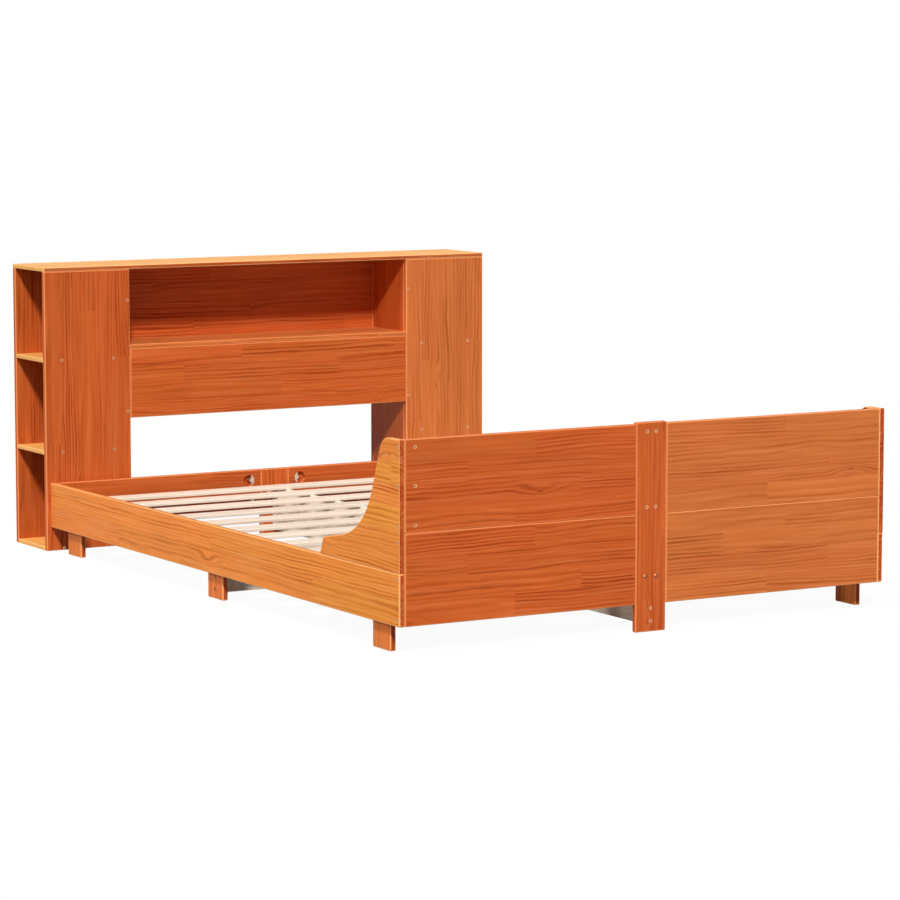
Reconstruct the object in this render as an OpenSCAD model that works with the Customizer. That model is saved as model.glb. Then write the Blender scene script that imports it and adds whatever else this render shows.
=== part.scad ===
// Double bed of solid pine boards with a boarded foot end, a slatted base and a bookcase at the head.
// The foot end faces -Y and the head is at +Y. Left is -X, right is +X.
// The origin is on the floor under the middle of the whole bed.

/* [Frame] */
// Width over the two side rails
bed_w = 1450; // [1000:2:1900]
// Length from the foot face to the back of the head rail
bed_l = 2056; // [1800:2:2300]
// Thickness of the frame boards
board_t = 16; // [14:1:20]
// Height of the side rails and the head rail
rail_h = 130; // [115:1:180]
// Clear height under the rails
rail_clear = 70; // [62:1:120]
// Clear height under the inner beams
beam_clear = 16; // [8:1:20]

/* [Foot end] */
// Height of one foot board, of which two lie edge to edge
foot_board_h = 228; // [190:1:280]
// Width of the middle posts at the foot and the head
post_w = 90; // [80:1:120]
// Rise of the foot post over the foot boards
post_rise = 4; // [0:1:20]
// Width of the upright battens in the foot corners
batten_w = 56; // [50:1:90]
// Width of the backing board behind the foot post
backing_w = 170; // [150:2:240]
// Drop of the battens and the backing board below the foot boards' top
batten_drop = 12; // [0:1:40]
// Lift of the battens and the backing board over the slats
batten_lift = 10; // [2:1:30]

/* [Side wings] */
// Length of a wing along its side rail
wing_l = 404; // [340:2:520]
// Length of the level top edge up to its sharp corner
wing_top_l = 85; // [60:1:110]
// Distance from the foot face to the sharp corner of the sweep
wing_bend_l = 178; // [160:1:220]
// Height of that corner over the rail
wing_bend_h = 83; // [75:1:110]
// Height of the step at the wing's head end
wing_step_h = 46; // [36:1:60]
// Lean of that end
wing_rake = 18; // [5:1:40]
// Radius of the hollow sweep
wing_sweep_r = 200; // [100:5:240]
// Radius of the rounded top corner
wing_round_r = 45; // [15:1:60]
// Radius of the step's corner
wing_step_r = 14; // [5:1:22]

/* [Legs] */
// Width of a leg along the rail
leg_w = 88; // [70:1:110]
// Distance from the foot face to the first leg
foot_leg_gap = 73; // [40:1:140]
// Distance from the back of the head rail to the last leg
head_leg_gap = 86; // [40:1:140]

/* [Slatted base] */
// Depth of the slats' top below the rails' top
slat_drop = 45; // [30:1:60]
// Width of a slat
slat_w = 60; // [45:1:90]
// Thickness of a slat
slat_t = 9; // [8:1:14]
// Side gap between a slat's end and the rail
slat_end_gap = 2; // [0:0.5:6]
// Gap between the head rail and the first slat
slat_head_gap = 30; // [10:1:60]
// Gap between the foot boards and the last slat
slat_foot_gap = 98; // [40:1:140]
// Width of the ledge that carries the slats
ledge_w = 25; // [20:1:32]
// Height of that ledge
ledge_h = 20; // [16:1:30]
// Length of the cleats that hang the middle beam
cleat_l = 70; // [66:1:100]
// Height of those cleats
cleat_h = 30; // [28:1:40]

/* [Bookcase] */
// Overhang of the bookcase past each side rail
case_overhang = 12; // [0:1:40]
// Depth of the bookcase
case_d = 225; // [180:1:320]
// Height of the bookcase
case_h = 825; // [760:1:1000]
// Width of one column
column_w = 272; // [240:1:330]
// Thickness of the upright panels
panel_t = 16; // [14:1:20]
// Thickness of the top board and the shelves
shelf_t = 12; // [11:1:18]
// Height of the middle of the upper column shelves
upper_shelf_z = 555; // [480:1:640]
// Height of the middle of the lower column shelves
lower_shelf_z = 287; // [220:1:360]
// Height of the middle bay's floor
bay_floor_z = 592; // [520:1:680]
// Height of the panel under the middle bay
bay_panel_h = 204; // [150:1:260]

/* [Fasteners] */
// Diameter of the screw shanks
screw_d = 4.5; // [4:0.5:5]
// Diameter of the screw heads
screw_head_d = 9; // [8:0.5:10]
// Height of the screw heads
screw_head_h = 4; // [3:0.5:5]
// Width across the corners of the screws' hexagon drive
screw_drive_d = 4; // [3:0.5:4.5]
// Depth of that drive
screw_drive_depth = 2; // [1:0.5:2.5]
// Length of the screws that run into end grain
long_screw = 40; // [34:1:42]
// Length of the screws through two boards
short_screw = 26; // [22:1:27]
// Length of the screws that hold the ledges
ledge_screw = 36; // [32:1:38]
// Length of the screws that hold the slats
slat_screw = 24; // [18:1:25]
// Length of the screws that hold the cleats
cleat_screw = 22; // [19:0.5:22.5]
// Diameter of the bolts and the threaded rods
bolt_d = 6; // [5:0.5:8]
// Diameter of the bolts' domed heads
bolt_head_d = 13; // [11:0.5:15]
// Height of the domed heads
bolt_head_h = 3; // [2:0.5:4]
// Length of the bolts
bolt_l = 60; // [54:1:66]
// Diameter of the barrel nuts
barrel_d = 10; // [9:0.5:12]
// Length of the barrel nuts
barrel_l = 14; // [10:0.5:14]
// Diameter of the round pockets in the head rail
pocket_d = 35; // [30:1:38]
// Depth of those pockets
pocket_depth = 12; // [11:0.5:13]
// Distance from the head post to a pocket's middle
pocket_gap = 41; // [36:1:50]
// Thickness of the half-moon washers at their middle
moon_t = 10; // [7:0.5:12]
// Width across the corners of the rod nuts
nut_d = 11; // [10:0.5:12]
// Thickness of the rod nuts
nut_t = 5; // [4:0.5:6]
// Running clearance round every fastener and in the lapped joint
fit_gap = 0.1; // [0.05:0.05:0.3]

/* [Hidden] */
$fn = 48;
stain = "#cf6a33";
stain_light = "#e08a3c";
pale_pine = "#ecdcc0";
steel = "#b9bcc0";

// Overall length and the place of the foot face in it
total_l = bolt_head_h + bed_l + case_d;
foot_y = bolt_head_h - total_l / 2;

// Heights, from the floor up
rail_top = rail_clear + rail_h;
slat_top = rail_top - slat_drop;
slat_z = slat_top - slat_t;
ledge_z = slat_z - ledge_h;
seam_z = rail_clear + foot_board_h;
foot_top = seam_z + foot_board_h;
post_top = foot_top + post_rise;
batten_z = [slat_top + batten_lift, foot_top - batten_drop];
lap_z = (beam_clear + ledge_z) / 2;

// Widths and lengths inside the frame, on the right-hand side and from the foot face
inner_x = bed_w / 2 - board_t;
post_x = post_w / 2;
beam_x = board_t / 2;
head_y = bed_l - board_t;
leg_low_y = [foot_leg_gap, (foot_leg_gap + bed_l - head_leg_gap - leg_w) / 2, bed_l - head_leg_gap - leg_w];
mid_y = leg_low_y[1] + leg_w / 2;

// Slats are counted from the head
slat_count = 13;
slat_first_y = head_y - slat_head_gap - slat_w / 2;
slat_last_y = board_t + slat_foot_gap + slat_w / 2;
slat_pitch = (slat_first_y - slat_last_y) / (slat_count - 1);
function slat_y(k) = slat_first_y - (k - 1) * slat_pitch;
function slat_name(k) = str("slat_", k < 10 ? "0" : "", k);

// Bookcase places, from the foot face
case_x = bed_w / 2 + case_overhang;
column_x = case_x - column_w;
case_front = [bed_l, bed_l + panel_t];
case_inside = [bed_l + panel_t, bed_l + case_d - panel_t];
case_back = [bed_l + case_d - panel_t, bed_l + case_d];
panel_top = case_h - shelf_t;
bay_shelf_z = bay_floor_z - shelf_t;
shelf_mids = [shelf_t / 2, lower_shelf_z, upper_shelf_z];

// Distances of the frame's screws and bolts from the edges and ends of their boards
edge_inset = 15;
top_inset = 20;
seam_inset = 22;
corner_inset = 45;
front_seam_inset = 18;
front_top_inset = 8;
rear_seam_inset = 40;
cleat_inset = 14;
cleat_top_inset = 6;
bolt_inset = 11;
barrel_inset = 10;
rod_inset = 32;

// Distances of the bookcase's screws from the same
panel_inset = 54;
bay_inset = 60;
side_low_z = 66;
side_mid_drop = 25;
side_top_rise = 32;

// Distances of paired screws and bolts from the middle between them
screw_pair = 13;
bolt_pair = 16;
leg_pair_y = 22;
leg_pair_z = 14;
post_screw_zs = [27, 60];

// How far cutting shapes run past a face, and the length of a rod's end past its nut
past = 1;
rod_rest = 4;

// Turn between two points of a rounded corner
arc_step = 6;

// Turns that point a fastener along an axis
to_right = [0, 90, 0];
to_left = [0, -90, 0];
to_back = [-90, 0, 0];
to_front = [90, 0, 0];
down = [180, 0, 0];

// Screw spots on the right-hand side: place of the head, direction and length
rail_zs = [rail_clear + edge_inset, rail_top - edge_inset];
rail_spots = [for (y = [board_t / 2, bed_l - board_t / 2], z = rail_zs)
    [[bed_w / 2, y, z], to_left, long_screw]];
wing_zs = [seam_z - seam_inset, seam_z + edge_inset, seam_z + foot_board_h / 2, foot_top - top_inset];
wing_spots = [for (z = wing_zs) [[bed_w / 2, board_t / 2, z], to_left, long_screw]];
front_zs = [seam_z + front_seam_inset, seam_z + foot_board_h / 2, batten_z[1] - front_top_inset];
rear_low_zs = [batten_z[0] + top_inset, seam_z - rear_seam_inset];
rear_high_zs = [seam_z + rear_seam_inset, batten_z[1] - top_inset];
corner_x = bed_w / 2 - corner_inset;
batten_spots = [for (z = rear_low_zs) [[corner_x, 2 * board_t, z], to_front, short_screw]];
// The upper corner screws go in from the front at the left and from behind at the right
function corner_spots(side) = side < 0
    ? [for (z = front_zs) [[corner_x, 0, z], to_back, short_screw]]
    : [for (z = rear_high_zs) [[corner_x, 2 * board_t, z], to_front, short_screw]];
post_spots = [for (z = [front_zs[0], front_zs[2]]) [[screw_pair, 0, z], to_back, short_screw]];
backing_spots = [for (z = concat(rear_low_zs, rear_high_zs))
    [[(post_x + backing_w / 2) / 2, 2 * board_t, z], to_front, short_screw]];
ledge_spots = [for (k = [1 : 3 : slat_count - 1])
    [[inner_x - ledge_w, slat_y(k) - slat_pitch / 2, ledge_z + ledge_h / 2], to_right, ledge_screw]];
join_spots = [for (x = [column_x + panel_inset, (column_x + inner_x) / 2])
    [[x, head_y, rail_clear + rear_seam_inset], to_back, short_screw]];
column_xs = [column_x + panel_inset, case_x - panel_inset];
shelf_spots = [for (x = column_xs, z = shelf_mids)
    [[x, bed_l, z], to_back, long_screw]];
side_mid_z = (lower_shelf_z + upper_shelf_z) / 2 - side_mid_drop;
side_top_z = (upper_shelf_z + case_h) / 2 + side_top_rise;
side_spots = [for (z = [side_low_z, side_mid_z, side_top_z])
    [[column_x + panel_t / 2, bed_l, z], to_back, long_screw]];
bay_mid_z = bay_floor_z - shelf_t / 2;
bay_spots = [for (y = [bay_inset, case_d - bay_inset])
    [[column_x + panel_t, bed_l + y, bay_mid_z], to_left, long_screw]];
bay_xs = [column_x / 3, column_x - bay_inset];
bay_front_spots = [for (x = bay_xs) [[x, bed_l + panel_t / 2, bay_floor_z], down, long_screw]];
bay_back_spots = [for (x = bay_xs) [[x, bed_l + case_d, bay_mid_z], to_front, long_screw]];
top_front_spots = [for (x = column_xs) [[x, bed_l + panel_t / 2, case_h], down, long_screw]];
top_side_spots = [[[column_x + panel_t / 2, bed_l + case_d / 2, case_h], down, long_screw]];
top_back_spots = [for (x = column_xs) [[x, bed_l + case_d - panel_t / 2, case_h], down, long_screw]];
top_bay_spots = [for (x = bay_xs) [[x, bed_l + case_d - panel_t / 2, case_h], down, long_screw]];
beam_foot_spots = [for (z = post_screw_zs) [[0, 0, z], to_back, long_screw]];
beam_head_spots = [for (z = post_screw_zs) [[0, bed_l, z], to_front, long_screw]];
// The same screws again from the back of the bookcase
function from_behind(spots) = [for (s = spots) [[s[0][0], bed_l + case_d, s[0][2]], to_front, s[2]]];

// Two screws hold each leg to its rail
leg_mid_z = (rail_clear + ledge_z) / 2;
function leg_spots(y) = [for (e = [-1, 1])
    [[inner_x - board_t, y + leg_w / 2 + e * leg_pair_y, leg_mid_z + e * leg_pair_z], to_right, short_screw]];
all_leg_spots = [for (y = leg_low_y) for (s = leg_spots(y)) s];
// One screw holds each end of a slat
function slat_spot(k) = [[inner_x - ledge_w / 2, slat_y(k), slat_top], down, slat_screw];
all_slat_spots = [for (k = [1 : slat_count]) slat_spot(k)];

// Bolt spots on the right-hand side: place of the head, direction and turn of the barrel nut
foot_cleat_z = slat_top - cleat_h / 2;
head_cleat_z = slat_z - cleat_h / 2;
barrel_along_x = [0, 90, 0];
barrel_along_y = [90, 0, 0];
barrel_at = bolt_l - barrel_inset;
foot_bolts = [[[bolt_pair, 0, foot_cleat_z], to_back, barrel_along_x]];
head_bolts = [[[bolt_pair, bed_l, head_cleat_z], to_front, barrel_along_x]];
leg_bolts = [for (z = [beam_clear + bolt_inset, rail_clear - bolt_inset])
    [[inner_x, mid_y, z], to_left, barrel_along_y]];
all_bolts = concat(foot_bolts, head_bolts, leg_bolts);

// One screw near each end holds a cleat to the beam, above its bolt
function cleat_spots(y, z) = [for (at = [cleat_inset, cleat_l - cleat_inset])
    [[beam_x + board_t, y + at, z + cleat_h / 2 - cleat_top_inset], to_left, cleat_screw]];
beam_cleat_spots = concat(cleat_spots(board_t, foot_cleat_z), cleat_spots(head_y - cleat_l, head_cleat_z));

// Threaded rods through the head post, which end past the nuts in the two pockets
pocket_x = post_x + pocket_gap;
rod_y = head_y + pocket_depth / 2;
rod_zs = [rail_clear + rod_inset, rail_top - rod_inset];
moon_x = pocket_x - pocket_d / 2;
rod_end = moon_x + moon_t + nut_t + rod_rest;

// Two limits at equal distances from a middle
function span(mid, width) = [mid - width / 2, mid + width / 2];

// A board between two limits along each axis
module board(x, y, z) {
    translate([x[0], y[0], z[0]]) cube([x[1] - x[0], y[1] - y[0], z[1] - z[0]]);
}

// Shapes are drawn from the foot face, on the right-hand side, and mirrored for the left
module placed(side = 1) {
    translate([0, foot_y, 0]) mirror([side < 0 ? 1 : 0, 0, 0]) children();
}

// Countersunk screw that starts at its head's face and runs along +Z
module screw(length) {
    difference() {
        union() {
            cylinder(h = screw_head_h, d1 = screw_head_d, d2 = screw_d);
            cylinder(h = length, d = screw_d);
        }
        translate([0, 0, -past]) cylinder(h = screw_drive_depth + past, d = screw_drive_d, $fn = 6);
    }
}

module screw_hole(length) {
    translate([0, 0, -past]) cylinder(h = past + fit_gap, d = screw_head_d + 2 * fit_gap);
    translate([0, 0, fit_gap])
        cylinder(h = screw_head_h, d1 = screw_head_d + 2 * fit_gap, d2 = screw_d + 2 * fit_gap);
    cylinder(h = length + fit_gap, d = screw_d + 2 * fit_gap);
}

module screws(spots) {
    for (s = spots) translate(s[0]) rotate(s[1]) screw(s[2]);
}

module drilled(spots) {
    difference() {
        children();
        for (s = spots) translate(s[0]) rotate(s[1]) screw_hole(s[2]);
    }
}

// Bolt whose domed head stands out below z = 0 and whose shank runs along +Z
module bolt() {
    dome_r = (pow(bolt_head_d / 2, 2) + pow(bolt_head_h, 2)) / (2 * bolt_head_h);
    translate([0, 0, -past]) cylinder(h = bolt_l + past, d = bolt_d);
    intersection() {
        translate([0, 0, dome_r - bolt_head_h]) sphere(r = dome_r);
        translate([0, 0, -bolt_head_h]) cylinder(h = bolt_head_h, d = 2 * bolt_head_d);
    }
}

// Round cross nut that a bolt pulls on inside the wood
module barrel_nut(turn) {
    difference() {
        translate([0, 0, barrel_at]) rotate(turn) cylinder(h = barrel_l, d = barrel_d, center = true);
        cylinder(h = bolt_l + past, d = bolt_d + 2 * fit_gap);
    }
}

module bolt_hole(turn) {
    translate([0, 0, -past]) cylinder(h = bolt_l + past + fit_gap, d = bolt_d + 2 * fit_gap);
    translate([0, 0, barrel_at]) rotate(turn)
        cylinder(h = board_t + 2 * past, d = barrel_d + 2 * fit_gap, center = true);
}

module bolted(spots) {
    difference() {
        children();
        for (s = spots) translate(s[0]) rotate(s[1]) bolt_hole(s[2]);
    }
}

// A rounded corner: the arc of radius r that meets the lines from p to a and from p to b
function unit(v) = v / norm(v);
function rounded(a, p, b, r) =
    let (u = unit(a - p), w = unit(b - p), half = acos(u * w) / 2)
    let (mid = p + unit(u + w) * r / sin(half), start = p + u * r / tan(half) - mid)
    let (turn = (180 - 2 * half) * sign(u[0] * w[1] - u[1] * w[0]), steps = ceil(abs(turn) / arc_step))
    [for (i = [0 : steps]) let (t = -turn * i / steps)
        mid + [start[0] * cos(t) - start[1] * sin(t), start[0] * sin(t) + start[1] * cos(t)]];

// Side view of a wing: along the rail and up
function wing_outline() =
    let (foot = [0, rail_top], top = [0, foot_top], round = [wing_top_l, foot_top])
    let (bend = [wing_bend_l, rail_top + wing_bend_h], step = [wing_l - wing_rake, rail_top + wing_step_h])
    let (end = [wing_l, rail_top])
    concat([foot, top], rounded(top, round, bend, wing_round_r), rounded(round, bend, step, wing_sweep_r),
        rounded(bend, step, end, wing_step_r), [end]);

module side_rail(side) {
    color(stain_light) placed(side) drilled(concat(rail_spots, ledge_spots, all_leg_spots))
        board([inner_x, bed_w / 2], [0, bed_l], [rail_clear, rail_top]);
}

module wing(side) {
    color(stain_light) placed(side) drilled(wing_spots)
        translate([inner_x, 0, 0]) rotate([90, 0, 90]) linear_extrude(board_t) polygon(wing_outline());
}

module foot_board(side, z, spots) {
    color(stain) placed(side) drilled(spots)
        board([post_x, inner_x], [0, board_t], z);
}

module foot_lower_board(side) {
    foot_board(side, [rail_clear, seam_z], concat(rail_spots, [wing_spots[0]], batten_spots, backing_spots));
}

module foot_upper_board(side) {
    foot_board(side, [seam_z, foot_top], concat(wing_spots, corner_spots(side), backing_spots));
}

module foot_centre_post() {
    color(stain) placed() bolted(foot_bolts) drilled(concat(beam_foot_spots, post_spots)) mirror([1, 0, 0])
        bolted(foot_bolts) drilled(post_spots) board([-post_x, post_x], [0, board_t], [0, post_top]);
}

module foot_backing_board() {
    color(stain) placed() drilled(concat(post_spots, backing_spots)) mirror([1, 0, 0])
        drilled(concat(post_spots, backing_spots))
        board([-backing_w / 2, backing_w / 2], [board_t, 2 * board_t], batten_z);
}

module foot_corner_battens() {
    color(stain) for (side = [-1, 1]) placed(side) drilled(concat(corner_spots(side), batten_spots))
        board([inner_x - batten_w, inner_x], [board_t, 2 * board_t], batten_z);
}

// Bore for the threaded rods through the head post and its neighbours
module rod_bores() {
    for (z = rod_zs) translate([0, rod_y, z]) rotate(to_right)
        cylinder(h = 2 * post_w, d = bolt_d + 2 * fit_gap, center = true);
}

module head_rail(side) {
    color(stain) placed(side) drilled(concat(rail_spots, join_spots)) difference() {
        board([post_x, inner_x], [head_y, bed_l], [rail_clear, rail_top]);
        for (z = rod_zs) {
            translate([pocket_x, head_y - past, z]) rotate(to_back)
                cylinder(h = pocket_depth + past, d = pocket_d);
            translate([post_x - past, rod_y, z]) rotate(to_right)
                cylinder(h = pocket_gap, d = bolt_d + 2 * fit_gap);
        }
    }
}

module head_centre_post() {
    color(stain) placed() bolted(head_bolts) drilled(beam_head_spots) mirror([1, 0, 0])
        bolted(head_bolts) difference() {
            board([-post_x, post_x], [head_y, bed_l], [0, rail_top]);
            rod_bores();
        }
}

module leg(side, row) {
    color(stain) placed(side) drilled(leg_spots(leg_low_y[row])) bolted(row == 1 ? leg_bolts : [])
        board([inner_x - board_t, inner_x], [leg_low_y[row], leg_low_y[row] + leg_w], [0, ledge_z]);
}

// The two inner beams cross in a half lap
module centre_beam() {
    color(pale_pine) placed() drilled(concat(beam_foot_spots, beam_head_spots, beam_cleat_spots))
        mirror([1, 0, 0]) drilled(beam_cleat_spots) difference() {
            board([-beam_x, beam_x], [board_t, head_y], [beam_clear, slat_z]);
            board([-board_t, board_t], span(mid_y, board_t + 2 * fit_gap), [0, lap_z]);
        }
}

module middle_cross_beam() {
    end_x = inner_x - board_t;
    color(pale_pine) placed() bolted(leg_bolts) mirror([1, 0, 0]) bolted(leg_bolts) difference() {
        board([-end_x, end_x], span(mid_y, board_t), [beam_clear, ledge_z]);
        board(span(0, board_t + 2 * fit_gap), span(mid_y, 2 * board_t), [lap_z, slat_z]);
    }
}

module slat_ledges() {
    color(pale_pine) for (side = [-1, 1]) placed(side) drilled(concat(ledge_spots, all_slat_spots))
        board([inner_x - ledge_w, inner_x], [board_t, head_y], [ledge_z, slat_z]);
}

module beam_cleats() {
    color(pale_pine) for (side = [-1, 1]) placed(side) drilled(beam_cleat_spots) {
        bolted(foot_bolts) board([beam_x, beam_x + board_t], [board_t, board_t + cleat_l],
            span(foot_cleat_z, cleat_h));
        bolted(head_bolts) board([beam_x, beam_x + board_t], [head_y - cleat_l, head_y],
            span(head_cleat_z, cleat_h));
    }
}

module slat(k) {
    half_l = inner_x - slat_end_gap;
    color(pale_pine) placed() drilled([slat_spot(k)]) mirror([1, 0, 0]) drilled([slat_spot(k)])
        board([-half_l, half_l], span(slat_y(k), slat_w), [slat_z, slat_top]);
}

module bookcase_top() {
    spots = concat(top_front_spots, top_side_spots, top_back_spots, top_bay_spots);
    color(stain_light) placed() drilled(spots) mirror([1, 0, 0]) drilled(spots)
        board([-case_x, case_x], [case_front[0], case_back[1]], [panel_top, case_h]);
}

module bookcase_front(side) {
    color(stain) placed(side) drilled(concat(shelf_spots, side_spots, join_spots, top_front_spots))
        board([column_x, case_x], case_front, [0, panel_top]);
}

module bookcase_side(side) {
    color(stain) placed(side) drilled(concat(side_spots, bay_spots, top_side_spots, from_behind(side_spots)))
        board([column_x, column_x + panel_t], case_inside, [0, panel_top]);
}

module bookcase_back(side) {
    color(stain) placed(side)
        drilled(concat(from_behind(shelf_spots), from_behind(side_spots), top_back_spots))
        board([column_x, case_x], case_back, [0, panel_top]);
}

module column_shelf(side, row) {
    color(stain) placed(side) drilled(concat(shelf_spots, from_behind(shelf_spots)))
        board([column_x + panel_t, case_x], case_inside, span(shelf_mids[row], shelf_t));
}

module bay_shelf() {
    spots = concat(bay_spots, bay_front_spots, bay_back_spots);
    color(stain) placed() drilled(spots) mirror([1, 0, 0]) drilled(spots)
        board([-column_x, column_x], [case_front[0], case_inside[1]], [bay_shelf_z, bay_floor_z]);
}

module bay_front_panel() {
    color(stain) placed() drilled(bay_front_spots) mirror([1, 0, 0]) drilled(bay_front_spots)
        board([-column_x, column_x], case_front, [bay_shelf_z - bay_panel_h, bay_shelf_z]);
}

module bay_back_panel() {
    spots = concat(bay_back_spots, top_bay_spots);
    color(stain) placed() drilled(spots) mirror([1, 0, 0]) drilled(spots)
        board([-column_x, column_x], case_back, [bay_shelf_z, panel_top]);
}

module frame_screws() {
    color(steel) {
        for (side = [-1, 1]) placed(side) {
            screws(concat(rail_spots, wing_spots, corner_spots(side), batten_spots, post_spots));
            screws(concat(backing_spots, ledge_spots, all_leg_spots, all_slat_spots, join_spots));
            screws(beam_cleat_spots);
        }
        placed() screws(concat(beam_foot_spots, beam_head_spots));
    }
}

module bookcase_screws() {
    front = concat(shelf_spots, side_spots, bay_spots, bay_front_spots);
    rear = concat(from_behind(shelf_spots), from_behind(side_spots), bay_back_spots);
    color(steel) for (side = [-1, 1]) placed(side)
        screws(concat(front, rear, top_front_spots, top_side_spots, top_back_spots, top_bay_spots));
}

module carriage_bolts() {
    color(steel) for (side = [-1, 1]) placed(side)
        for (s = all_bolts) translate(s[0]) rotate(s[1]) bolt();
}

module barrel_nuts() {
    color(steel) for (side = [-1, 1]) placed(side)
        for (s = all_bolts) translate(s[0]) rotate(s[1]) barrel_nut(s[2]);
}

module joint_rods() {
    color(steel) placed() for (z = rod_zs) translate([0, rod_y, z]) rotate(to_right)
        cylinder(h = 2 * rod_end, d = bolt_d, center = true);
}

module half_moon_washers() {
    color(steel) for (side = [-1, 1], z = rod_zs) placed(side) difference() {
        intersection() {
            translate([pocket_x, head_y, z]) rotate(to_back)
                cylinder(h = pocket_depth - fit_gap, d = pocket_d - 2 * fit_gap);
            board([post_x, moon_x + moon_t], [head_y - past, bed_l], span(z, 2 * pocket_d));
        }
        translate([post_x, rod_y, z]) rotate(to_right) cylinder(h = pocket_gap, d = bolt_d + 2 * fit_gap);
    }
}

module joint_nuts() {
    color(steel) for (side = [-1, 1], z = rod_zs) placed(side)
        translate([moon_x + moon_t, rod_y, z]) rotate(to_right) difference() {
            cylinder(h = nut_t, d = nut_d, $fn = 6);
            translate([0, 0, -past]) cylinder(h = nut_t + 2 * past, d = bolt_d + 2 * fit_gap);
        }
}

side_rail(-1);  // left_side_rail
side_rail(1);  // right_side_rail
wing(-1);  // left_wing
wing(1);  // right_wing
foot_lower_board(-1);  // foot_lower_board_left
foot_lower_board(1);  // foot_lower_board_right
foot_upper_board(-1);  // foot_upper_board_left
foot_upper_board(1);  // foot_upper_board_right
foot_centre_post();
foot_backing_board();
foot_corner_battens();
head_rail(-1);  // head_rail_left
head_rail(1);  // head_rail_right
head_centre_post();
leg(-1, 0);  // leg_foot_left
leg(1, 0);  // leg_foot_right
leg(-1, 1);  // leg_middle_left
leg(1, 1);  // leg_middle_right
leg(-1, 2);  // leg_head_left
leg(1, 2);  // leg_head_right
centre_beam();
middle_cross_beam();
slat_ledges();
beam_cleats();
for (k = [1 : slat_count]) slat(k);
bookcase_top();
bookcase_front(-1);  // bookcase_front_left
bookcase_front(1);  // bookcase_front_right
bookcase_side(-1);  // bookcase_side_left
bookcase_side(1);  // bookcase_side_right
bookcase_back(-1);  // bookcase_back_left
bookcase_back(1);  // bookcase_back_right
column_shelf(-1, 0);  // shelf_bottom_left
column_shelf(1, 0);  // shelf_bottom_right
column_shelf(-1, 1);  // shelf_lower_left
column_shelf(1, 1);  // shelf_lower_right
column_shelf(-1, 2);  // shelf_upper_left
column_shelf(1, 2);  // shelf_upper_right
bay_shelf();
bay_front_panel();
bay_back_panel();
frame_screws();
bookcase_screws();
carriage_bolts();
barrel_nuts();
joint_rods();
half_moon_washers();
joint_nuts();
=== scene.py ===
"""Double bed of stained pine boards with a boarded foot end, a slatted base and a bookcase at the head."""

import math

import bpy
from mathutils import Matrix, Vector


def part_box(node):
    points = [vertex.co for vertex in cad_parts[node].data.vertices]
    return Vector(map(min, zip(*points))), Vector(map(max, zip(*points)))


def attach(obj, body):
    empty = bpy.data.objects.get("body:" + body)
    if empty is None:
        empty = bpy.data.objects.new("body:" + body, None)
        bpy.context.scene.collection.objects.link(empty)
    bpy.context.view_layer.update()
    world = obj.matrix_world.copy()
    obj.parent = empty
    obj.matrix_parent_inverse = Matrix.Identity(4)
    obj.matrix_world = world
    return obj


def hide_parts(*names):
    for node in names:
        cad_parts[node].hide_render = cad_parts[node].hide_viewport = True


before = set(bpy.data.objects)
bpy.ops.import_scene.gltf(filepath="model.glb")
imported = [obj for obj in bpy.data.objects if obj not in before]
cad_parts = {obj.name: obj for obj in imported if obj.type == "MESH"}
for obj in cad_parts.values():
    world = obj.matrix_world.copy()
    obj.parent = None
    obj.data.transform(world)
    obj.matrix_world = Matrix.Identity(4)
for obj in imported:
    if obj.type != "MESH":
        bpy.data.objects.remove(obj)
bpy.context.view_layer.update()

# Boards, in metres: how far their edges are rounded, and the width of those that come in pairs in one node
BOARD_ROUND = 0.003
SHELF_ROUND = 0.002
SLAT_ROUND = 0.0015
BATTEN_W = 0.056
LEDGE_W = 0.025

# Meshes: the steps of a rounded edge, and the turn up to which faces are shaded as one
ROUND_STEPS = 3
SMOOTH_TURN = math.radians(40)
# Points that lie closer than this are one, and faces thinner than this are removed
MERGE_GAP = 1e-6
SLIVER = 1e-5
# Faces that turn by less than this are joined, on straight boards and on the curved wings
BOARD_TURN = math.radians(0.2)
WING_TURN = math.radians(0.3)
# A wing's edges are eased where they are longer than this
WING_STEP = 0.001
# How far the faces beside such an edge may be off square, and how far those of a rounded edge lean at least
SQUARE = 0.001
LEAN = 0.1

# Boards are glued from staves about this wide
STAVE_W = 0.058
# Staves are jointed from blocks: their length, the place of the first joint, how far each row is set off from
# the next as a share of a block, and how far the middle of the tree wanders along them
BLOCKS = (0.52, 0.31, 0.37, 0.03)
RAIL_BLOCKS = (1.148, 0.44, 0.5, 0.012)
ONE_PIECE = (3.0, 2.9, 0.0, 0.012)

# How far from the middle of the tree the staves were cut, and how quickly that middle wanders along them,
# from row to row and from block to block
PITH_ASIDE = 0.26
PITH_DEPTH = 0.02
PITH_DEEPER = 0.06
PITH_WANDERS = (2.4, 2.7, 1.0)

# Real rings are 2 to 4 mm apart, which is finer than a pixel here, so they are drawn at 9 mm
RING_GAP = 0.009
# By how many rings the spacing of years varies, and how quickly it does so outwards and between blocks
YEARS_DIFFER = 2.2
YEARS_CHANGE = (30, 20, 0)
# Share of a year's ring at which late wood starts and is darkest, and how strong it is in the faintest year
LATE_STARTS = 0.15
LATE_PEAKS = 0.75
FAINTEST_YEAR = 0.25
# Values of the fading pattern between which late wood comes back, and what is left of it before
FADE_LIMITS = (0.35, 0.65)
FADED = 0.3
# Slants between which a ring narrows from a band that is cut flat to a line, and how strong the band is
SLANT_LIMITS = (0.1, 0.7)
FLAT_BAND = 0.3

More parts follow.
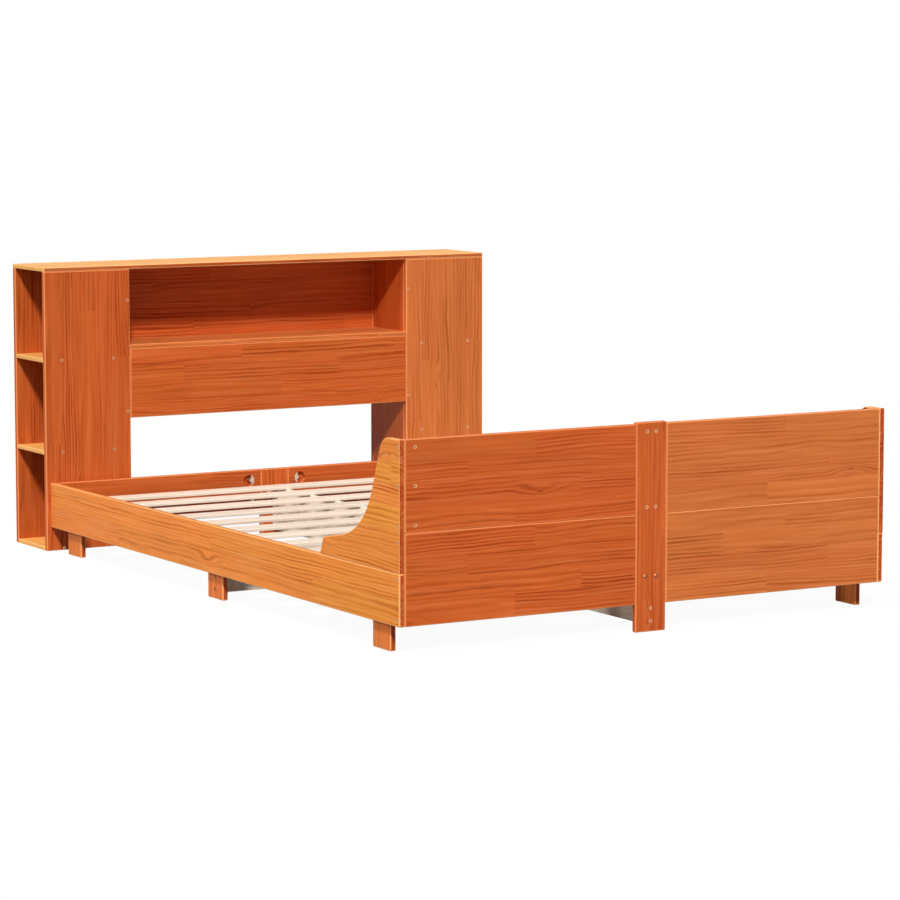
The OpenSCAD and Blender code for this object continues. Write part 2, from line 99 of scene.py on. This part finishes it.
# Knots to a metre along and across the board, the share of their spacing over which rings swell round one, by
# how many metres they do, and the limits, strength and colour of its heart
KNOTS_PER_METRE = (1.1, 4.5, 0)
KNOT_REACH = 0.11
KNOT_SWELL = 0.014
HEART_LIMITS = (0.004, 0.014)
HEART_SHOWS = 0.5
HEART_COLOUR = "#6a2c12"

# Patterns that run with the grain: how often they change in a metre along, across and into the board, and
# their detail. Real fibres are under 1 mm wide, which is finer than a pixel here, so they are drawn at 3 mm.
PATTERNS = {
    "waver": ((7, 45, 45), 2),
    "fade": ((4, 25, 25), 2),
    "fibre": ((9, 330, 330), 3),
    "cloud": ((3, 14, 14), 2),
    "streak": ((3, 90, 90), 3),
}
# How far apart two boards lie in these patterns
SEED_STEP = 3.1
# How much the tone differs from block to block, between fibres and between clouds
BLOCK_TONES = 0.08
FIBRE_TONES = 0.3
CLOUD_TONES = 0.2
# Values of the streak pattern between which a pale streak grows, and how much of the edges' colour it takes
STREAK_LIMITS = (0.45, 0.75)
STREAK_SHOWS = 0.3
# How much of that colour an eased edge takes, partly sanded wear and partly a painted highlight, and how
# nearly a face has to look along an axis to be an end
EDGE_WEAR_AND_HIGHLIGHT = 0.75
END_FACE = 0.9

# Surface of the wood: late wood is a little rougher and stands proud by up to 0.3 mm, fibres by less
LATE_ROUGHER = 0.06
FIBRE_HEIGHT = 0.6
RELIEF = 0.0003
RELIEF_SHOWS = 0.2
WAX_IOR = 1.46

# Surface of plated steel: its crystals are under 0.1 mm, so the unevenness is drawn at about 3 mm
PLATING_SCALE = 330
PLATING_DETAIL = 3
PLATING_ROUGHNESS = (0.35, 0.55)
# Painted shade in recesses such as screw drives: its reach, the open shares of the sky between which it
# clears, and its colour
RECESS_SHADE_REACH = 0.003
RECESS_SHADE_LIMITS = (0.5, 0.95)
RECESS_SHADE_COLOUR = "#2e1a0e"


def colour(code):
    """Turns an sRGB hex value into linear red, green, blue and alpha."""
    parts = [int(code[i:i + 2], 16) / 255 for i in (1, 3, 5)]
    linear = [part / 12.92 if part <= 0.04045 else ((part + 0.055) / 1.055) ** 2.4 for part in parts]
    return (*linear, 1)


def add(tree, kind, inputs=(), **settings):
    """Adds one node with its settings. Its inputs, in order or by name, are values, links or other nodes."""
    node = tree.nodes.new("ShaderNode" + kind)
    for name, value in settings.items():
        setattr(node, name, value)
    for key, value in inputs.items() if isinstance(inputs, dict) else enumerate(inputs):
        if isinstance(value, bpy.types.Node):
            value = value.outputs[0]
        if isinstance(value, bpy.types.NodeSocket):
            tree.links.new(value, node.inputs[key])
        else:
            node.inputs[key].default_value = value
    return node


def new_material(name):
    """An empty material with its node tree."""
    material = bpy.data.materials.new(name)
    material.use_nodes = True
    material.node_tree.nodes.clear()
    return material, material.node_tree


# Stained pine: solid pine of glued staves, planed, stained and waxed. The eye sees soft darker lines of late
# wood on orange, staves of slightly different tone, a dull satin shine, paler eased edges, partly sanded wear
# and partly painted highlight, and deeper colour in the ends. Each stain has its colours on early and late
# wood, on eased edges and on its deeper faces, which are end grain that took more of it and, on the yellow
# stains, also front and rear faces painted darker as shade, and how much its hue varies between blocks.
WAXED = {"roughness": 0.5, "shine": 0.15}
RED_STAIN = {
    **WAXED, "variety": 0.003, "early": "#c35d29", "late": "#8f360e",
    "edge": "#e78e58", "end_and_shade_early": "#b04c1b", "end_and_shade_late": "#873611",
}
PALE_RED_STAIN = {
    **WAXED, "variety": 0.003, "early": "#c86f3a", "late": "#9a4a1b",
    "edge": "#e8975f", "end_and_shade_early": "#b25928", "end_and_shade_late": "#8c4018",
}
HONEY_STAIN = {
    **WAXED, "variety": 0.014, "early": "#e9903d", "late": "#b35811",
    "edge": "#f6b678", "end_and_shade_early": "#b34c1b", "end_and_shade_late": "#8b3610",
}
ORANGE_STAIN = {
    **WAXED, "variety": 0.006, "early": "#dc7b38", "late": "#b0541f",
    "edge": "#f4a86e", "end_and_shade_early": "#a9481c", "end_and_shade_late": "#7f300f",
}
AMBER_STAIN = {
    **WAXED, "variety": 0.006, "early": "#efb060", "late": "#d98f40",
    "edge": "#f7cb90", "end_and_shade_early": "#b24e20", "end_and_shade_late": "#8c3812",
}
# Pale pine: the same wood, planed and left untreated. The eye sees cream with faint straw-coloured lines.
UNTREATED = {
    "roughness": 0.65, "shine": 0.2, "variety": 0.003, "early": "#f3e8dd", "late": "#e2cfba",
    "edge": "#f5ece3", "end_and_shade_early": "#e6d6c4", "end_and_shade_late": "#cdb59b",
}
# Boards in these stains are deeper on their front and rear faces: end grain on rails, wings and shelves, and
# painted shade on the fronts of the legs and the front edge of the top. The others are deeper on their ends,
# where the end grain took more stain.
YELLOW_STAINS = (HONEY_STAIN, ORANGE_STAIN, AMBER_STAIN)


def find_block(tree, u, v, stave, blocks, seed):
    """The row and block of staves that a spot lies in, and three random numbers that each block has."""
    length, first_joint, set_off = blocks[:3]
    row = add(tree, "Math", [v, stave], operation="DIVIDE")
    row = add(tree, "Math", [row], operation="FLOOR")
    run = add(tree, "Math", [u, first_joint], operation="SUBTRACT")
    run = add(tree, "Math", [run, length], operation="DIVIDE")
    run = add(tree, "Math", [row, -set_off, run], operation="MULTIPLY_ADD")
    block = add(tree, "Math", [run], operation="FLOOR")
    chance = add(tree, "TexWhiteNoise", [add(tree, "CombineXYZ", [row, block, seed])])
    return row, block, add(tree, "SeparateColor", [chance.outputs["Color"]]).outputs[:3]


def find_pith(tree, spot, row, block, chances, stave, wander, seed):
    """How far a spot is aside of the tree's middle, which runs below its block, and how far in all."""
    u, v, w = spot
    from_edge = add(tree, "Math", [row, -stave, v], operation="MULTIPLY_ADD")
    aside = add(tree, "Math", [chances[0], PITH_ASIDE, from_edge], operation="MULTIPLY_ADD")
    aside = add(tree, "Math", [aside, (PITH_ASIDE + stave) / 2], operation="SUBTRACT")
    deep = add(tree, "Math", [chances[1], PITH_DEEPER, w], operation="MULTIPLY_ADD")
    deep = add(tree, "Math", [deep, PITH_DEPTH], operation="ADD")
    path = add(tree, "CombineXYZ", [u, row, block])
    path = add(tree, "VectorMath", [path, PITH_WANDERS, (0, 0, seed)], operation="MULTIPLY_ADD")
    path = add(tree, "TexNoise", {"Vector": path, "Scale": 1, "Detail": 1}).outputs["Color"]
    sway = (0, wander, wander)
    path = add(tree, "VectorMath", [path, sway, (0, -wander / 2, -wander / 2)], operation="MULTIPLY_ADD")
    pith = add(tree, "VectorMath", [add(tree, "CombineXYZ", [0, aside, deep]), path], operation="ADD")
    return aside, add(tree, "VectorMath", [pith], operation="LENGTH").outputs["Value"]


def late_wood(tree, radius, aside, chances, waver, fade, seed):
    """How strongly a spot shows late wood: a line in each year's ring, strong in some and faint in others."""
    years = add(tree, "CombineXYZ", [radius, chances[2]])
    years = add(tree, "VectorMath", [years, YEARS_CHANGE], operation="MULTIPLY")
    years = add(tree, "TexNoise", {"Vector": years, "Scale": 1})
    rings = add(tree, "Math", [radius, 1 / RING_GAP, waver], operation="MULTIPLY_ADD")
    rings = add(tree, "Math", [years, YEARS_DIFFER, rings], operation="MULTIPLY_ADD")

    # Early wood darkens to a line of late wood and starts anew, and each year has its own strength
    season = add(tree, "Math", [rings], operation="FRACT")
    rise = add(tree, "MapRange", [season, LATE_STARTS, LATE_PEAKS, 0, 1], interpolation_type="SMOOTHSTEP")
    fall = add(tree, "MapRange", [season, LATE_PEAKS, 1, 1, 0], interpolation_type="SMOOTHSTEP")
    year = add(tree, "CombineXYZ", [add(tree, "Math", [rings], operation="FLOOR"), chances[0], seed])
    year = add(tree, "MapRange", [add(tree, "TexWhiteNoise", [year]), 0, 1, FAINTEST_YEAR, 1])

    # The line fades in places, and a ring that is cut flat is a broad band, which is fainter
    fade = add(tree, "MapRange", [fade, *FADE_LIMITS, FADED, 1])
    slant = add(tree, "Math", [add(tree, "Math", [aside], operation="ABSOLUTE"), radius], operation="DIVIDE")
    slant = add(tree, "MapRange", [slant, *SLANT_LIMITS, FLAT_BAND, 1])
    late = add(tree, "Math", [rise, fall], operation="MULTIPLY")
    for share in (year, fade, slant):
        late = add(tree, "Math", [late, share], operation="MULTIPLY")
    return late


def pine(name, low, high, grain, across, stain, seed, tone, blocks):
    """Solid pine whose grain runs along one axis and whose staves lie side by side along another."""
    material, tree = new_material(name)
    into = ({"X", "Y", "Z"} - {grain, across}).pop()
    width = (high - low)["XYZ".index(across)]
    stave = width / max(1, round(width / STAVE_W))

    # Distance along the grain, across it and into the board
    spot = add(tree, "VectorMath", [add(tree, "TexCoord").outputs["Object"], low], operation="SUBTRACT")
    parts = add(tree, "SeparateXYZ", [spot])
    u, v, w = (parts.outputs[axis] for axis in (grain, across, into))
    place = add(tree, "CombineXYZ", [u, v, w])
    place = add(tree, "VectorMath", [place, (seed * SEED_STEP, 0, 0)], operation="ADD")
    patterns = {}
    for key, (changes, detail) in PATTERNS.items():
        stretched = add(tree, "VectorMath", [place, changes], operation="MULTIPLY")
        patterns[key] = add(tree, "TexNoise", {"Vector": stretched, "Scale": 1, "Detail": detail})
    fibre = patterns["fibre"]

    # Each block of each stave is cut from another place in the tree, and rings swell round a few small knots
    row, block, chances = find_block(tree, u, v, stave, blocks, seed)
    aside, radius = find_pith(tree, (u, v, w), row, block, chances, stave, blocks[3], seed)
    knot = add(tree, "VectorMath", [place, KNOTS_PER_METRE], operation="MULTIPLY")
    knot = add(tree, "TexVoronoi", {"Vector": knot, "Scale": 1}, voronoi_dimensions="2D")
    swell = add(tree, "MapRange", [knot, 0, KNOT_REACH, 1, 0], interpolation_type="SMOOTHSTEP")
    heart = add(tree, "MapRange", [knot, *HEART_LIMITS, HEART_SHOWS, 0], interpolation_type="SMOOTHSTEP")
    radius = add(tree, "Math", [swell, KNOT_SWELL, radius], operation="MULTIPLY_ADD")
    late = late_wood(tree, radius, aside, chances, patterns["waver"], patterns["fade"], seed)

    # Fibres run with the grain, and the stain takes unevenly, in streaks and in broad clouds
    streak = add(tree, "MapRange", [patterns["streak"], *STREAK_LIMITS, 0, STREAK_SHOWS])
    mean_change = (BLOCK_TONES + FIBRE_TONES + CLOUD_TONES) / 2
    level = add(tree, "Math", [chances[2], BLOCK_TONES, tone - mean_change], operation="MULTIPLY_ADD")
    level = add(tree, "Math", [fibre, FIBRE_TONES, level], operation="MULTIPLY_ADD")
    level = add(tree, "Math", [patterns["cloud"], CLOUD_TONES, level], operation="MULTIPLY_ADD")

    # Some faces are deeper: end grain that took more stain and, on the yellow stains, front and rear faces
    # painted darker as shade
    end_and_shade_axis = "Y" if stain in YELLOW_STAINS else grain
    normal = add(tree, "SeparateXYZ", [add(tree, "NewGeometry").outputs["True Normal"]]).outputs[end_and_shade_axis]
    normal = add(tree, "Math", [normal], operation="ABSOLUTE")
    deep = add(tree, "Math", [normal, END_FACE], operation="GREATER_THAN")
    early_colour = add(tree, "MixRGB", [deep, colour(stain["early"]), colour(stain["end_and_shade_early"])])
    late_colour = add(tree, "MixRGB", [deep, colour(stain["late"]), colour(stain["end_and_shade_late"])])
    wood = add(tree, "MixRGB", [streak, early_colour, colour(stain["edge"])])
    wood = add(tree, "MixRGB", [late, wood, late_colour])
    variety = stain["variety"]
    hue = add(tree, "Math", [chances[1], variety, (1 - variety) / 2], operation="MULTIPLY_ADD")
    wood = add(tree, "HueSaturation", {"Hue": hue, "Value": level, "Color": wood})
    wood = add(tree, "MixRGB", [heart, wood, colour(HEART_COLOUR)])
    # Eased edges take the paler edge colour: partly sanded wear, partly a painted highlight
    eased = add(tree, "Attribute", attribute_name="eased").outputs["Fac"]
    eased = add(tree, "Math", [eased, EDGE_WEAR_AND_HIGHLIGHT], operation="MULTIPLY")
    wood = add(tree, "MixRGB", [eased, wood, colour(stain["edge"])])

    rough = add(tree, "Math", [late, LATE_ROUGHER, stain["roughness"]], operation="MULTIPLY_ADD")
    height = add(tree, "Math", [fibre, FIBRE_HEIGHT, late], operation="MULTIPLY_ADD")
    bump = add(tree, "Bump", {"Strength": RELIEF_SHOWS, "Distance": RELIEF, "Height": height})
    shader = add(tree, "BsdfPrincipled", {"Base Color": wood, "Roughness": rough, "Normal": bump,
        "IOR": WAX_IOR, "Specular IOR Level": stain["shine"]})
    add(tree, "OutputMaterial", [shader])
    return material


def plated_steel(name, dull, bright):
    """Zinc-plated steel. The eye sees uneven metal, dull where it was handled, with painted shade darkening
    its recesses.
    """
    material, tree = new_material(name)
    spot = add(tree, "TexCoord").outputs["Object"]
    cloud = add(tree, "TexNoise", {"Vector": spot, "Scale": PLATING_SCALE, "Detail": PLATING_DETAIL})
    tone = add(tree, "MixRGB", [cloud, colour(dull), colour(bright)])
    # Painted shade: the colour darkens towards the recess colour where little of the sky is open
    open_sky = add(tree, "AmbientOcclusion", {"Distance": RECESS_SHADE_REACH}, only_local=True)
    open_sky = add(tree, "MapRange", [open_sky.outputs["AO"], *RECESS_SHADE_LIMITS, 0, 1])
    tone = add(tree, "MixRGB", [open_sky, colour(RECESS_SHADE_COLOUR), tone])
    rough = add(tree, "MapRange", [cloud, 0, 1, *PLATING_ROUGHNESS])
    shader = add(tree, "BsdfPrincipled", {"Base Color": tone, "Roughness": rough, "Metallic": 1})
    add(tree, "OutputMaterial", [shader])
    return material


def coat(node, material):
    """Gives a node that keeps its own shape its finish."""
    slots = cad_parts[node].data.materials
    slots.clear()
    slots.append(material)


def seen(tree):
    """1 for what the camera and shiny or clear surfaces see directly, otherwise 0."""
    rays = add(tree, "LightPath").outputs
    either = add(tree, "Math", [rays["Is Camera Ray"], rays["Is Glossy Ray"]], operation="MAXIMUM")
    return add(tree, "Math", [either, rays["Is Transmission Ray"]], operation="MAXIMUM")


def select_only(piece):
    """Leaves one piece selected and active, so that an operator changes nothing else."""
    bpy.ops.object.select_all(action="DESELECT")
    piece.select_set(True)
    bpy.context.view_layer.objects.active = piece


def apply_modifier(piece, kind, **settings):
    """Adds a modifier with its settings and applies it."""
    select_only(piece)
    modifier = piece.modifiers.new(kind.lower(), kind)
    for name, value in settings.items():
        setattr(modifier, name, value)
    bpy.ops.object.modifier_apply(modifier=modifier.name)


def sawn_shape(node):
    """The node's own shape with its bores and laps, as one closed mesh."""
    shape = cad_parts[node].copy()
    shape.data = shape.data.copy()
    shape.parent = None
    for key in list(shape.keys()):
        del shape[key]
    bpy.context.scene.collection.objects.link(shape)
    select_only(shape)
    bpy.ops.object.mode_set(mode="EDIT")
    bpy.ops.mesh.select_all(action="SELECT")
    bpy.ops.mesh.remove_doubles(threshold=MERGE_GAP)
    bpy.ops.object.mode_set(mode="OBJECT")
    return shape


def eased_blank(low, high, rounding):
    """A planed board with all its edges eased."""
    bpy.ops.object.select_all(action="DESELECT")
    bpy.ops.mesh.primitive_cube_add(size=1, location=(low + high) / 2, scale=high - low)
    bpy.ops.object.transform_apply(location=True, rotation=True, scale=True)
    bpy.ops.object.mode_set(mode="EDIT")
    bpy.ops.mesh.select_all(action="SELECT")
    bpy.ops.mesh.bevel(offset=rounding, segments=ROUND_STEPS, affect="EDGES")
    bpy.ops.object.mode_set(mode="OBJECT")
    return bpy.context.object


def mark_eased(piece, thick):
    """Marks the rounded edges, which are painted paler, partly as sanded wear and partly as a painted
    highlight. On a curved board, whose axis of thickness is given, they are only the faces that lean along
    that axis."""
    marks = piece.data.attributes.new("eased", "FLOAT", "FACE")
    for face, mark in zip(piece.data.polygons, marks.data):
        leans = [abs(part) > LEAN for part in face.normal]
        mark.value = float(sum(leans) > 1 and (thick is None or leans[thick]))


def finish_board(piece, node, material, thick=None):
    """Smooths a board's eased edges, gives it its wood and puts it in its node's place."""
    piece.name = node + "_board"
    piece.data.name = piece.name
    piece.data.materials.clear()
    piece.data.materials.append(material)
    select_only(piece)
    bpy.ops.object.shade_smooth_by_angle(angle=SMOOTH_TURN)
    apply_modifier(piece, "WEIGHTED_NORMAL", keep_sharp=True)
    mark_eased(piece, thick)
    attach(piece, "root")
    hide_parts(node)


def board(node, rounding, limits=None):
    """One or more eased boards, with the bores and laps of their node."""
    blanks = [eased_blank(low, high, rounding) for low, high in limits or [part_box(node)]]
    piece = blanks[0]
    if len(blanks) > 1:
        select_only(piece)
        for other in blanks[1:]:
            other.select_set(True)
        bpy.ops.object.join()
    shape = sawn_shape(node)
    apply_modifier(piece, "BOOLEAN", operation="INTERSECT", object=shape, solver="EXACT")
    bpy.data.objects.remove(shape)
    # Flat faces are left whole, without slivers that would spoil their shading
    bpy.ops.object.mode_set(mode="EDIT")
    bpy.ops.mesh.select_all(action="SELECT")
    bpy.ops.mesh.dissolve_degenerate(threshold=SLIVER)
    bpy.ops.mesh.dissolve_limited(angle_limit=BOARD_TURN)
    bpy.ops.object.mode_set(mode="OBJECT")
    return piece


def wing(node):
    """A wing sawn to its outline, with the edges along both its faces eased."""
    piece = sawn_shape(node)
    bpy.ops.object.mode_set(mode="EDIT")
    bpy.ops.mesh.dissolve_limited(angle_limit=WING_TURN)
    bpy.ops.mesh.select_all(action="DESELECT")
    bpy.ops.object.mode_set(mode="OBJECT")
    sides = {}
    for face in piece.data.polygons:
        for key in face.edge_keys:
            sides.setdefault(key, []).append(abs(face.normal.x))
    points = piece.data.vertices
    for edge in piece.data.edges:
        a, b = (points[i].co for i in edge.vertices)
        leans = sorted(sides[edge.key])
        outline = leans[0] < SQUARE and leans[-1] > 1 - SQUARE
        edge.select = outline and (a - b).length > WING_STEP
    bpy.ops.object.mode_set(mode="EDIT")
    bpy.ops.mesh.select_mode(type="EDGE")
    bpy.ops.mesh.bevel(offset=BOARD_ROUND, segments=ROUND_STEPS, affect="EDGES")
    bpy.ops.object.mode_set(mode="OBJECT")
    return piece


def both_ends(node, width):
    """The limits of the two boards at a node's left and right ends."""
    low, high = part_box(node)
    return [(low, Vector((low.x + width, high.y, high.z))), (Vector((high.x - width, low.y, low.z)), high)]


# Boards: the axis of the grain, the axis on which staves lie side by side, the wood, its tone and rounding
BOARDS = {
    "left_side_rail": ("Y", "Z", HONEY_STAIN, 1.0, BOARD_ROUND),
    "right_side_rail": ("Y", "Z", HONEY_STAIN, 1.0, BOARD_ROUND),
    "left_wing": ("Y", "Z", HONEY_STAIN, 1.0, BOARD_ROUND),
    "right_wing": ("Y", "Z", HONEY_STAIN, 1.0, BOARD_ROUND),
    "foot_lower_board_left": ("X", "Z", RED_STAIN, 1.0, BOARD_ROUND),
    "foot_lower_board_right": ("X", "Z", PALE_RED_STAIN, 1.0, BOARD_ROUND),
    "foot_upper_board_left": ("X", "Z", RED_STAIN, 1.0, BOARD_ROUND),
    "foot_upper_board_right": ("X", "Z", PALE_RED_STAIN, 1.0, BOARD_ROUND),
    "foot_centre_post": ("Z", "X", RED_STAIN, 0.97, BOARD_ROUND),
    "foot_backing_board": ("Z", "X", RED_STAIN, 1.0, BOARD_ROUND),
    "foot_corner_battens": ("Z", "X", RED_STAIN, 1.0, BOARD_ROUND),
    # The head rails are a tenth darker: painted shade, for where they are seen below the slats
    "head_rail_left": ("X", "Z", RED_STAIN, 0.9, BOARD_ROUND),
    "head_rail_right": ("X", "Z", RED_STAIN, 0.9, BOARD_ROUND),
    "head_centre_post": ("Z", "X", RED_STAIN, 1.0, BOARD_ROUND),
    "leg_foot_left": ("Z", "Y", ORANGE_STAIN, 1.0, BOARD_ROUND),
    "leg_foot_right": ("Z", "Y", ORANGE_STAIN, 1.0, BOARD_ROUND),
    "leg_middle_left": ("Z", "Y", ORANGE_STAIN, 1.0, BOARD_ROUND),
    "leg_middle_right": ("Z", "Y", ORANGE_STAIN, 1.0, BOARD_ROUND),
    "leg_head_left": ("Z", "Y", ORANGE_STAIN, 1.0, BOARD_ROUND),
    "leg_head_right": ("Z", "Y", ORANGE_STAIN, 1.0, BOARD_ROUND),
    "centre_beam": ("Y", "Z", UNTREATED, 1.0, BOARD_ROUND),
    # The cross beam is darkened to 0.75: painted shade, for where it lies under the bed
    "middle_cross_beam": ("X", "Z", UNTREATED, 0.75, BOARD_ROUND),
    "slat_ledges": ("Y", "X", UNTREATED, 1.0, SLAT_ROUND),
    "bookcase_top": ("X", "Y", AMBER_STAIN, 1.0, SHELF_ROUND),
    "bookcase_front_left": ("Z", "X", RED_STAIN, 0.97, BOARD_ROUND),
    "bookcase_front_right": ("Z", "X", PALE_RED_STAIN, 1.0, BOARD_ROUND),
    "bookcase_side_left": ("Z", "Y", RED_STAIN, 1.0, BOARD_ROUND),
    "bookcase_side_right": ("Z", "Y", RED_STAIN, 1.0, BOARD_ROUND),
    # The column backs are darkened to 0.86: painted shade inside the open columns
    "bookcase_back_left": ("Z", "X", RED_STAIN, 0.86, BOARD_ROUND),
    "bookcase_back_right": ("Z", "X", RED_STAIN, 0.86, BOARD_ROUND),
    "shelf_bottom_left": ("Y", "X", AMBER_STAIN, 1.0, SHELF_ROUND),
    "shelf_bottom_right": ("Y", "X", AMBER_STAIN, 1.0, SHELF_ROUND),
    "shelf_lower_left": ("Y", "X", AMBER_STAIN, 0.96, SHELF_ROUND),
    "shelf_lower_right": ("Y", "X", AMBER_STAIN, 0.96, SHELF_ROUND),
    "shelf_upper_left": ("Y", "X", AMBER_STAIN, 0.96, SHELF_ROUND),
    "shelf_upper_right": ("Y", "X", AMBER_STAIN, 0.96, SHELF_ROUND),
    "bay_shelf": ("X", "Y", PALE_RED_STAIN, 1.08, SHELF_ROUND),
    "bay_front_panel": ("X", "Z", RED_STAIN, 1.0, BOARD_ROUND),
    "bay_back_panel": ("X", "Z", RED_STAIN, 1.0, BOARD_ROUND),
}
SLATS = sorted(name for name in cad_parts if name.startswith("slat_") and name != "slat_ledges")
BOARDS.update({name: ("X", "Y", UNTREATED, 0.95, SLAT_ROUND) for name in SLATS})

for seed, (node, (grain, across, stain, tone, rounding)) in enumerate(BOARDS.items(), 1):
    low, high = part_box(node)
    blocks = ONE_PIECE if stain is UNTREATED else RAIL_BLOCKS if "side_rail" in node else BLOCKS
    wood = pine(node + "_pine", low, high, grain, across, stain, seed, tone, blocks)
    if "wing" in node:
        finish_board(wing(node), node, wood, thick=0)
    elif node == "foot_corner_battens":
        finish_board(board(node, rounding, both_ends(node, BATTEN_W)), node, wood)
    elif node == "slat_ledges":
        finish_board(board(node, rounding, both_ends(node, LEDGE_W)), node, wood)
    else:
        finish_board(board(node, rounding), node, wood)

low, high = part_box("beam_cleats")
coat("beam_cleats", pine("cleat_pine", low, high, "Y", "X", UNTREATED, 0, 1.0, ONE_PIECE))

# Fittings: the dull and the bright colour of their plating. The screws' brassy tint and the bolts' dark brown
# tint are painted reflection of the stained wood around them, and the washers and nuts in the pockets are
# bright zinc.
FITTINGS = {
    "brassy_steel_painted_reflection": ("#c99262", "#f2c599", ["frame_screws", "bookcase_screws"]),
    "brown_steel_painted_reflection": ("#6b3a22", "#b37450", ["carriage_bolts", "barrel_nuts", "joint_rods"]),
    "bright_zinc_steel": ("#c9bfb0", "#f2eadf", ["half_moon_washers", "joint_nuts"]),
}
for name, (dull, bright, nodes) in FITTINGS.items():
    steel = plated_steel(name, dull, bright)
    for node in nodes:
        coat(node, steel)

# Floor: white paper that fades into the white surround and keeps a soft shadow. What the camera and shiny
# surfaces see of it is white, and the light that it throws up at the bed is that of a grey floor.
FLOOR_W = 120
FLOOR_GLOW = 0.95
FLOOR_GREY = "#a4a4a4"
bpy.ops.object.select_all(action="DESELECT")
bpy.ops.mesh.primitive_plane_add(size=FLOOR_W, location=(0, 0, 0))
floor = bpy.context.object
floor.name = "floor"
paper, tree = new_material("white_paper")
share = add(tree, "Math", [seen(tree), FLOOR_GLOW], operation="MULTIPLY")
grey = add(tree, "MixRGB", [seen(tree), colour(FLOOR_GREY), colour("#ffffff")])
sheet = add(tree, "BsdfDiffuse", {"Color": grey})
glow = add(tree, "Emission", {"Color": colour("#ffffff"), "Strength": 1})
add(tree, "OutputMaterial", [add(tree, "MixShader", [share, sheet, glow])])
floor.data.materials.append(paper)

# Surround: what is seen of it is white, and it lights the bed evenly and faintly
FILL_COLOUR = "#f6f8ff"
FILL_STRENGTH = 0.18
world = bpy.data.worlds.new("studio")
bpy.context.scene.world = world
world.use_nodes = True
tree = world.node_tree
tree.nodes.clear()
fill = add(tree, "Background", {"Color": colour(FILL_COLOUR), "Strength": FILL_STRENGTH})
white = add(tree, "Background", {"Color": colour("#ffffff"), "Strength": 1})
add(tree, "OutputWorld", [add(tree, "MixShader", [seen(tree), fill, white])])

# Lamps: a warm key from the front left, as high as the bookcase's shadows say, and wide soft ones from the
# left and from above. Each has the way its light travels, its strength, its spread in degrees and its colour.
LAMPS = {
    "key": ((0.34, 0.70, -0.63), 3.25, 6, "#fff6ea"),
    "left": ((0.82, 0.1, -0.56), 1.2, 15, "#fff2dc"),
    "above": ((0.1, 0.2, -1.0), 0.1, 80, "#ffffff"),
}
for name, (travel, strength, spread, tint) in LAMPS.items():
    sun = bpy.data.lights.new(name, "SUN")
    sun.energy = strength
    sun.angle = math.radians(spread)
    sun.color = colour(tint)[:3]
    lamp = bpy.data.objects.new(name, sun)
    lamp.rotation_euler = Vector(travel).to_track_quat("-Z", "Y").to_euler()
    bpy.context.scene.collection.objects.link(lamp)

# Camera, fitted to the photograph's edges and corners: its place and reach in metres, its turn to the right
# and its tilt in degrees, and its lens and the picture behind it in millimetres
CAMERA_PLACE = (-4.841, -8.410, 1.468)
CAMERA_REACH = 200
CAMERA_YAW = 30.35
CAMERA_PITCH = -6.6
CAMERA_LENS = 140.6
CAMERA_PICTURE = 36
eye = bpy.data.cameras.new("camera")
eye.lens = CAMERA_LENS
eye.sensor_width = CAMERA_PICTURE
eye.clip_end = CAMERA_REACH
camera = bpy.data.objects.new("camera", eye)
camera.location = CAMERA_PLACE
camera.rotation_euler = (math.radians(90 + CAMERA_PITCH), 0, -math.radians(CAMERA_YAW))
bpy.context.scene.collection.objects.link(camera)
bpy.context.scene.camera = camera
bpy.context.scene.view_settings.view_transform = "Standard"
